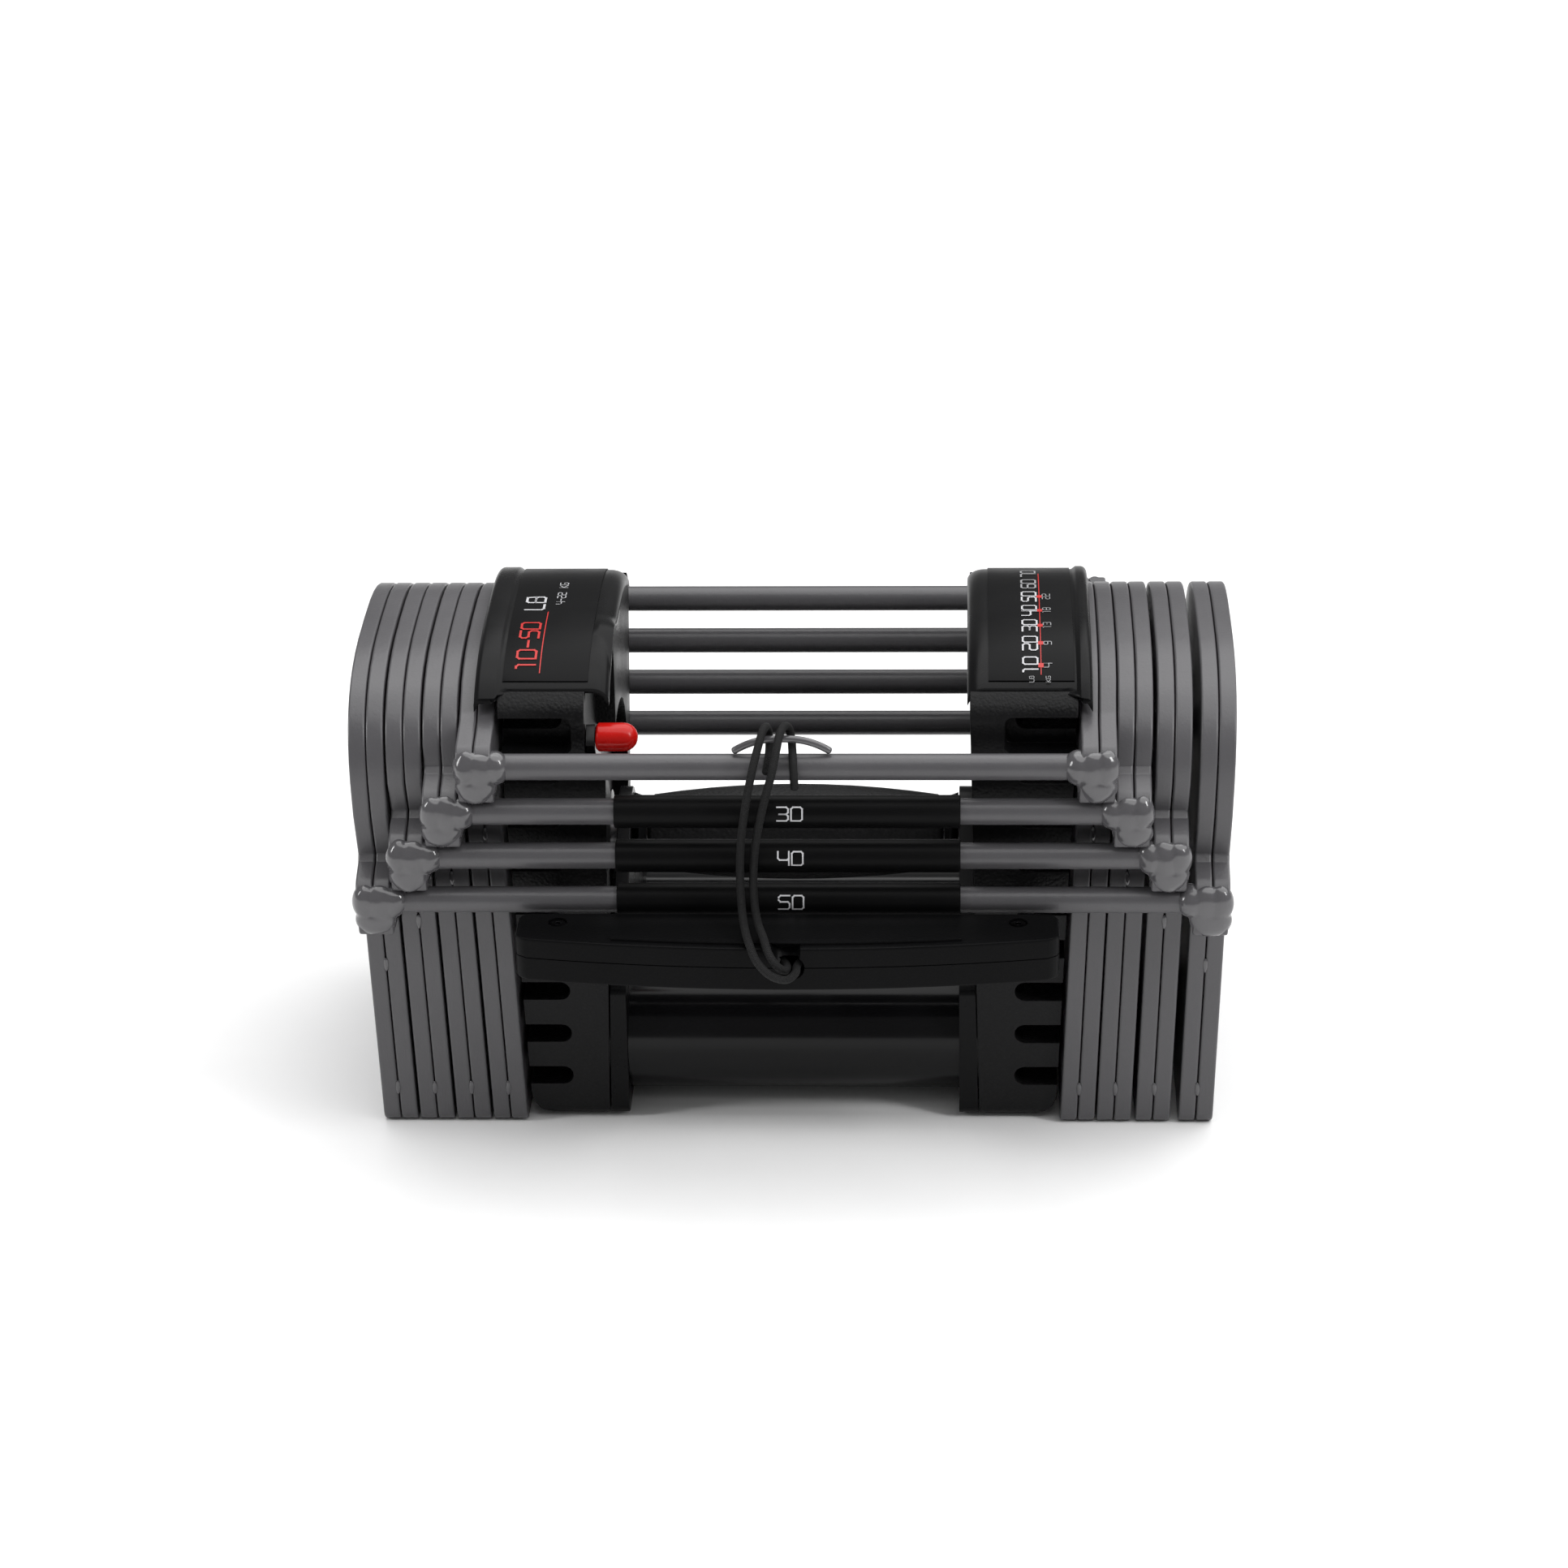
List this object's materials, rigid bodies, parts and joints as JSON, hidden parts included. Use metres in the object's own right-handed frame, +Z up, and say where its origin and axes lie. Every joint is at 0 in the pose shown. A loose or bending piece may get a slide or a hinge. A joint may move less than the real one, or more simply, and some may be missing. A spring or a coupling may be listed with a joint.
{
  "type": "adjustable dumbbell",
  "caption": "Block-shaped adjustable dumbbell: a padded grip core inside nested steel weight rings, held together by a two-prong selector pin on an elastic tether.",
  "frame": {"origin": "middle of the underside, on the floor that the ring plates stand on", "axes": "+X along the grip to the right, the selector pin is pulled out towards -Y, +Z up"},
  "size_m": [0.3024, 0.192, 0.1715],
  "materials": {
    "ring_coat": "grey satin powder coat",
    "sleeve_vinyl": "matt black shrink sleeve",
    "black_plastic": "fine pebble texture",
    "dome_plastic": "satin",
    "label_film": "printed satin film",
    "bare_steel": "turned",
    "prong_steel": "ground rod",
    "grip_rubber": "grained grip",
    "black_enamel": "gloss",
    "red_vinyl": "dipped vinyl",
    "pin_plastic": "moulded satin",
    "cord_fabric": "braided cover"
  },
  "bodies": {
    "ring_20": {"ring_20_plate_right_inner": "ring_coat", "ring_20_plate_right_outer": "ring_coat", "ring_20_plate_left_inner": "ring_coat", "ring_20_plate_left_outer": "ring_coat", "ring_20_rail_front": "ring_coat", "ring_20_rail_rear": "ring_coat", "ring_20_eyelet": "ring_coat", "tether_cord": "cord_fabric"},
    "ring_30": {"ring_30_plate_right_inner": "ring_coat", "ring_30_plate_right_outer": "ring_coat", "ring_30_plate_left_inner": "ring_coat", "ring_30_plate_left_outer": "ring_coat", "ring_30_rail_front": "ring_coat", "ring_30_rail_rear": "ring_coat", "ring_30_sleeve": "sleeve_vinyl"},
    "ring_40": {"ring_40_plate_right_inner": "ring_coat", "ring_40_plate_right_outer": "ring_coat", "ring_40_plate_left_inner": "ring_coat", "ring_40_plate_left_outer": "ring_coat", "ring_40_rail_front": "ring_coat", "ring_40_rail_rear": "ring_coat", "ring_40_sleeve": "sleeve_vinyl"},
    "ring_50": {"ring_50_plate_right_inner": "ring_coat", "ring_50_plate_right_outer": "ring_coat", "ring_50_plate_left_inner": "ring_coat", "ring_50_plate_left_outer": "ring_coat", "ring_50_rail_front": "ring_coat", "ring_50_rail_rear": "ring_coat", "ring_50_sleeve": "sleeve_vinyl"},
    "core": {"tower_right": "black_plastic", "tower_left": "black_plastic", "dome_right": "dome_plastic", "dome_left": "dome_plastic", "label_right": "label_film", "label_left": "label_film", "inner_wall_right": "black_plastic", "inner_wall_left": "black_plastic", "handle_tube": "bare_steel", "grip": "grip_rubber", "grip_collar_right": "black_plastic", "grip_collar_left": "black_plastic", "cross_tube_front": "black_enamel", "adder_weight_front": "bare_steel", "cross_tube_rear": "black_enamel", "adder_weight_rear": "bare_steel"},
    "lever": {"lever_arm": "black_enamel", "lever_cap": "red_vinyl"},
    "pin": {"pin_handle_top": "pin_plastic", "pin_handle_bottom": "pin_plastic", "pin_prong_left": "prong_steel", "pin_prong_right": "prong_steel", "pin_screw_left": "bare_steel", "pin_screw_right": "bare_steel"}
  },
  "joints": [
    {"name": "ring_40_lift", "type": "slide", "parent": "ring_50", "child": "ring_40", "axis": [0, 0, 1], "range_m": [0, 0.0003]},
    {"name": "ring_30_lift", "type": "slide", "parent": "ring_40", "child": "ring_30", "axis": [0, 0, 1], "range_m": [0, 0.0003]},
    {"name": "ring_20_lift", "type": "slide", "parent": "ring_30", "child": "ring_20", "axis": [0, 0, 1], "range_m": [0, 0.0003]},
    {"name": "core_lift", "type": "slide", "parent": "ring_20", "child": "core", "axis": [0, 0, 1], "range_m": [0, 0.0003]},
    {"name": "pin_pull", "type": "slide", "parent": "ring_20", "child": "pin", "axis": [0, -1, 0], "range_m": [0, 0.155], "deforming": ["tether_cord"]},
    {"name": "lever_swing", "type": "hinge", "parent": "core", "child": "lever", "pos_m": [-0.06815, 0.01425, 0.0835], "axis": [-1, 0, 0], "range_deg": [0, 22]}
  ]
}
